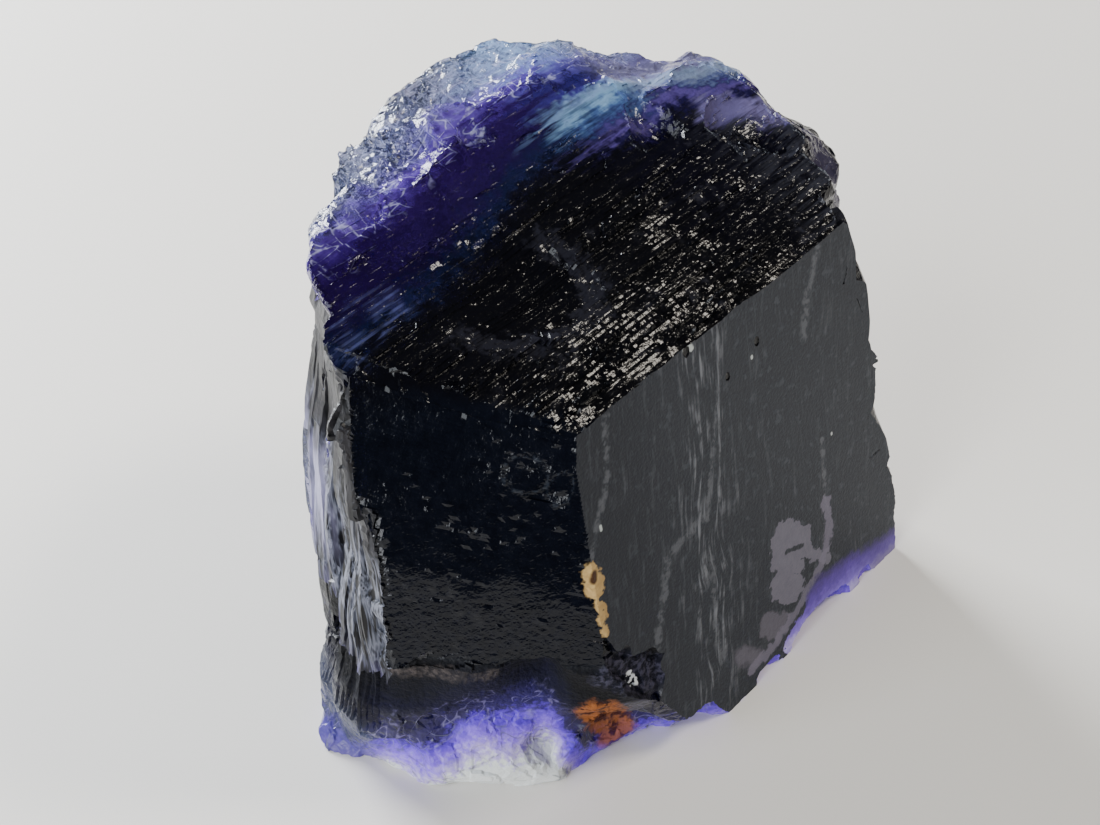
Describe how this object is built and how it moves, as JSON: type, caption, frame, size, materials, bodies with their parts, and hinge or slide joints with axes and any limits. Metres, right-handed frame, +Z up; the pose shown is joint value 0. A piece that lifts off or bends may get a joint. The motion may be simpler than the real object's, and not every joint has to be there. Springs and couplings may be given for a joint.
{
  "type": "fluorite specimen",
  "caption": "Broken chunk of dark purple fluorite with a flat right face, a stepped top, a splintery left side and a see-through broken rim, standing on its base.",
  "frame": {"origin": "middle of the crystal's box, at the height of the flat base", "axes": "+X to the viewer's right, +Y away from the viewer, towards the thin broken rim, +Z up"},
  "size_m": [0.0446, 0.042, 0.0371],
  "materials": {
    "fluorite": "nearly black purple crystal, glossy and see-through at its broken rim and foot, matt grey on its flat right face, with a rust-brown stain"
  },
  "bodies": {
    "root": {"fluorite_crystal": "fluorite"}
  },
  "joints": []
}
